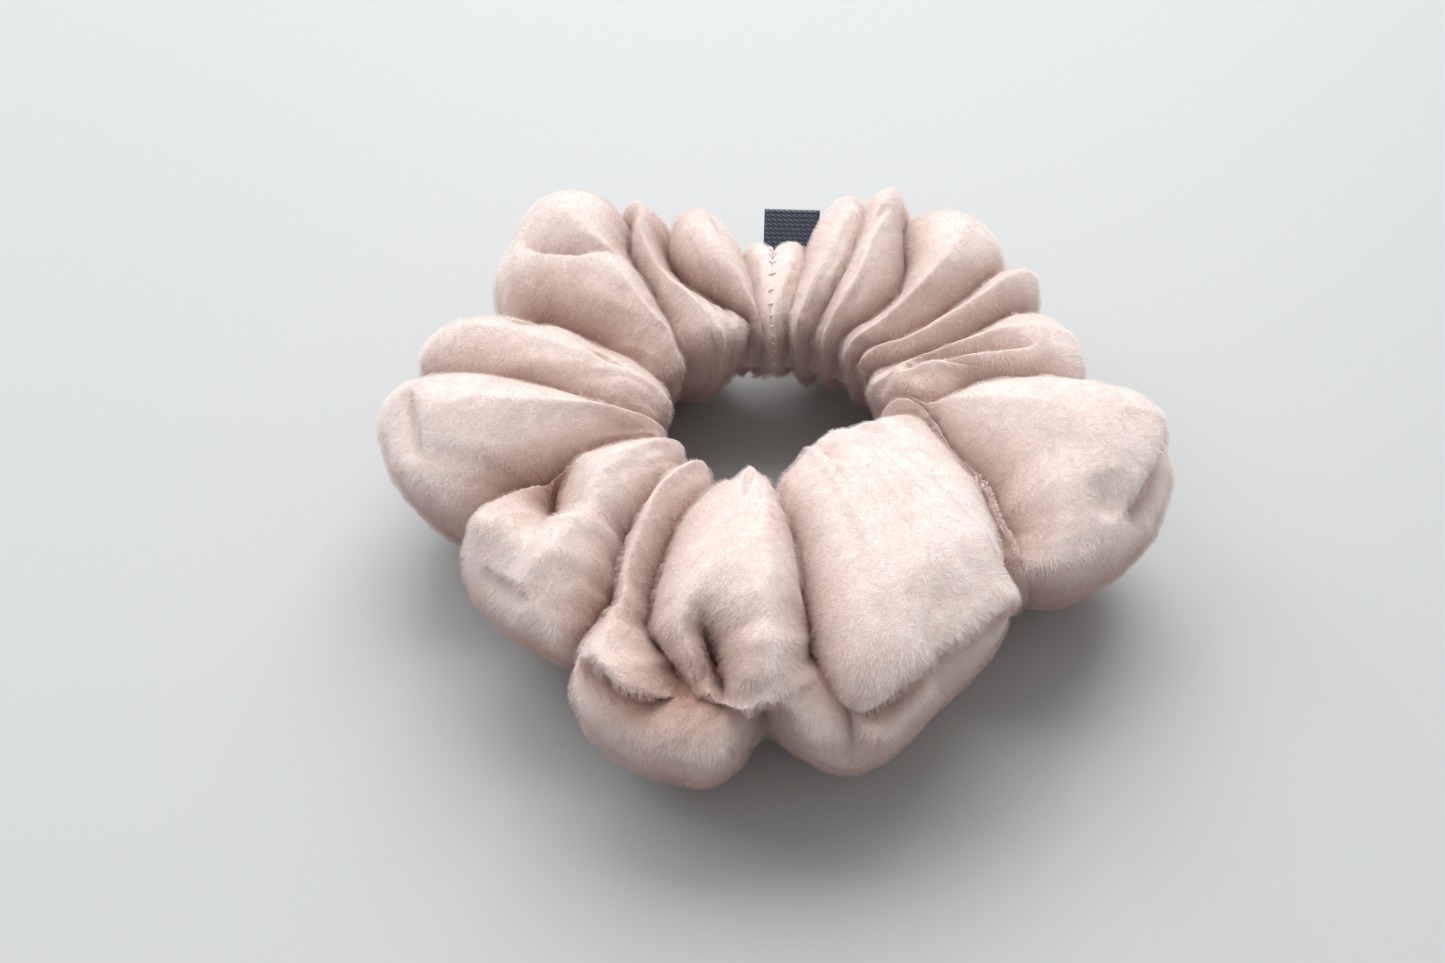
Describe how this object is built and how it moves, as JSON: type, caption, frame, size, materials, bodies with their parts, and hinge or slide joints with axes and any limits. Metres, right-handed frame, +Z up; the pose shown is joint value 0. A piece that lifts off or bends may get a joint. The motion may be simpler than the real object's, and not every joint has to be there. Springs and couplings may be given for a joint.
{
  "type": "scrunchie",
  "caption": "Oversized plush velour scrunchie: a gathered cloth tube on a flat elastic loop, which stretches open, with a small folded side label.",
  "frame": {"origin": "middle of the bounding box, at its bottom, on the surface the scrunchie lies on", "axes": "+Z up out of the surface, along the ring's axis; +Y towards the closing seam and its label; +X to the right seen from the side opposite the seam"},
  "size_m": [0.1432, 0.1354, 0.0457],
  "materials": {
    "plush": "soft velour pile, blush pink",
    "elastic": "white braided flat elastic, matte",
    "thread": "polyester sewing thread",
    "label_weave": "dark navy damask weave, slight sheen"
  },
  "bodies": {
    "seam_gather": {"cover_gather_00": "plush", "elastic_length_00": "elastic", "seam_thread_00": "thread", "closing_seam_thread": "thread", "elastic_lapped_end": "elastic", "elastic_join_thread_outer": "thread", "elastic_join_thread_inner": "thread"},
    "label_tab": {"label": "label_weave", "label_thread": "thread"},
    "gather_01": {"cover_gather_01": "plush", "elastic_length_01": "elastic", "seam_thread_01": "thread"},
    "gather_02": {"cover_gather_02": "plush", "elastic_length_02": "elastic", "seam_thread_02": "thread"},
    "gather_03": {"cover_gather_03": "plush", "elastic_length_03": "elastic", "seam_thread_03": "thread"},
    "gather_04": {"cover_gather_04": "plush", "elastic_length_04": "elastic", "seam_thread_04": "thread"},
    "gather_05": {"cover_gather_05": "plush", "elastic_length_05": "elastic", "seam_thread_05": "thread"},
    "gather_06": {"cover_gather_06": "plush", "elastic_length_06": "elastic", "seam_thread_06": "thread"},
    "gather_07": {"cover_gather_07": "plush", "elastic_length_07": "elastic", "seam_thread_07": "thread"},
    "gather_08": {"cover_gather_08": "plush", "elastic_length_08": "elastic", "seam_thread_08": "thread"},
    "gather_09": {"cover_gather_09": "plush", "elastic_length_09": "elastic", "seam_thread_09": "thread"},
    "gather_10": {"cover_gather_10": "plush", "elastic_length_10": "elastic", "seam_thread_10": "thread"},
    "gather_16": {"cover_gather_16": "plush", "elastic_length_16": "elastic", "seam_thread_16": "thread"},
    "gather_15": {"cover_gather_15": "plush", "elastic_length_15": "elastic", "seam_thread_15": "thread"},
    "gather_14": {"cover_gather_14": "plush", "elastic_length_14": "elastic", "seam_thread_14": "thread"},
    "gather_13": {"cover_gather_13": "plush", "elastic_length_13": "elastic", "seam_thread_13": "thread"},
    "gather_12": {"cover_gather_12": "plush", "elastic_length_12": "elastic", "seam_thread_12": "thread"},
    "gather_11": {"cover_gather_11": "plush", "elastic_length_11": "elastic", "seam_thread_11": "thread"}
  },
  "joints": [
    {"name": "stretch_00_01", "type": "slide", "parent": "seam_gather", "child": "gather_01", "axis": [-0.9903, -0.1392, 0], "range_m": [0, 0.00825], "stiffness_N_per_m": 727.1},
    {"name": "stretch_01_02", "type": "slide", "parent": "gather_01", "child": "gather_02", "axis": [-0.8829, -0.4695, 0], "range_m": [0, 0.00911], "stiffness_N_per_m": 658.5},
    {"name": "stretch_02_03", "type": "slide", "parent": "gather_02", "child": "gather_03", "axis": [-0.6756, -0.7373, 0], "range_m": [0, 0.00782], "stiffness_N_per_m": 767.1},
    {"name": "stretch_03_04", "type": "slide", "parent": "gather_03", "child": "gather_04", "axis": [-0.4462, -0.8949, 0], "range_m": [0, 0.00609], "stiffness_N_per_m": 984.7},
    {"name": "stretch_04_05", "type": "slide", "parent": "gather_04", "child": "gather_05", "axis": [-0.2207, -0.9753, 0], "range_m": [0, 0.00588], "stiffness_N_per_m": 1021},
    {"name": "stretch_05_06", "type": "slide", "parent": "gather_05", "child": "gather_06", "axis": [0.0785, -0.9969, 0], "range_m": [0, 0.00911], "stiffness_N_per_m": 658.5},
    {"name": "stretch_06_07", "type": "slide", "parent": "gather_06", "child": "gather_07", "axis": [0.4886, -0.8725, 0], "range_m": [0, 0.01231], "stiffness_N_per_m": 487.5},
    {"name": "stretch_07_08", "type": "slide", "parent": "gather_07", "child": "gather_08", "axis": [0.8166, -0.5771, 0], "range_m": [0, 0.00976], "stiffness_N_per_m": 615.1},
    {"name": "stretch_08_09", "type": "slide", "parent": "gather_08", "child": "gather_09", "axis": [0.9692, -0.2462, 0], "range_m": [0, 0.00847], "stiffness_N_per_m": 708.6},
    {"name": "stretch_09_10", "type": "slide", "parent": "gather_09", "child": "gather_10", "axis": [0.9848, 0.1736, 0], "range_m": [0, 0.01252], "stiffness_N_per_m": 479.3},
    {"name": "stretch_00_16", "type": "slide", "parent": "seam_gather", "child": "gather_16", "axis": [0.9856, -0.1693, 0], "range_m": [0, 0.00718], "stiffness_N_per_m": 836.3},
    {"name": "stretch_16_15", "type": "slide", "parent": "gather_16", "child": "gather_15", "axis": [0.893, -0.4501, 0], "range_m": [0, 0.00761], "stiffness_N_per_m": 788.8},
    {"name": "stretch_15_14", "type": "slide", "parent": "gather_15", "child": "gather_14", "axis": [0.6915, -0.7224, 0], "range_m": [0, 0.00933], "stiffness_N_per_m": 643.3},
    {"name": "stretch_14_13", "type": "slide", "parent": "gather_14", "child": "gather_13", "axis": [0.3379, -0.9412, 0], "range_m": [0, 0.01146], "stiffness_N_per_m": 523.6},
    {"name": "stretch_13_12", "type": "slide", "parent": "gather_13", "child": "gather_12", "axis": [-0.1305, -0.9914, 0], "range_m": [0, 0.0121], "stiffness_N_per_m": 496},
    {"name": "stretch_12_11", "type": "slide", "parent": "gather_12", "child": "gather_11", "axis": [-0.5225, -0.8526, 0], "range_m": [0, 0.00868], "stiffness_N_per_m": 691.1},
    {"name": "label_flip", "type": "hinge", "parent": "seam_gather", "child": "label_tab", "pos_m": [0.00217, 0.05577, 0.016], "axis": [0.999, -0.0436, 0], "range_deg": [-35, 25], "stiffness_Nm_per_rad": 0.0002}
  ],
  "couplings": [
    {"joint": "stretch_01_02", "follows": "stretch_00_01", "ratio": 1.1042},
    {"joint": "stretch_02_03", "follows": "stretch_00_01", "ratio": 0.94786},
    {"joint": "stretch_03_04", "follows": "stretch_00_01", "ratio": 0.73842},
    {"joint": "stretch_04_05", "follows": "stretch_00_01", "ratio": 0.71218},
    {"joint": "stretch_05_06", "follows": "stretch_00_01", "ratio": 1.1042},
    {"joint": "stretch_06_07", "follows": "stretch_00_01", "ratio": 1.4915},
    {"joint": "stretch_07_08", "follows": "stretch_00_01", "ratio": 1.1821},
    {"joint": "stretch_08_09", "follows": "stretch_00_01", "ratio": 1.0261},
    {"joint": "stretch_09_10", "follows": "stretch_00_01", "ratio": 1.5171},
    {"joint": "stretch_00_16", "follows": "stretch_00_01", "ratio": 0.86944},
    {"joint": "stretch_16_15", "follows": "stretch_00_01", "ratio": 0.92174},
    {"joint": "stretch_15_14", "follows": "stretch_00_01", "ratio": 1.1302},
    {"joint": "stretch_14_13", "follows": "stretch_00_01", "ratio": 1.3888},
    {"joint": "stretch_13_12", "follows": "stretch_00_01", "ratio": 1.4658},
    {"joint": "stretch_12_11", "follows": "stretch_00_01", "ratio": 1.0522}
  ]
}
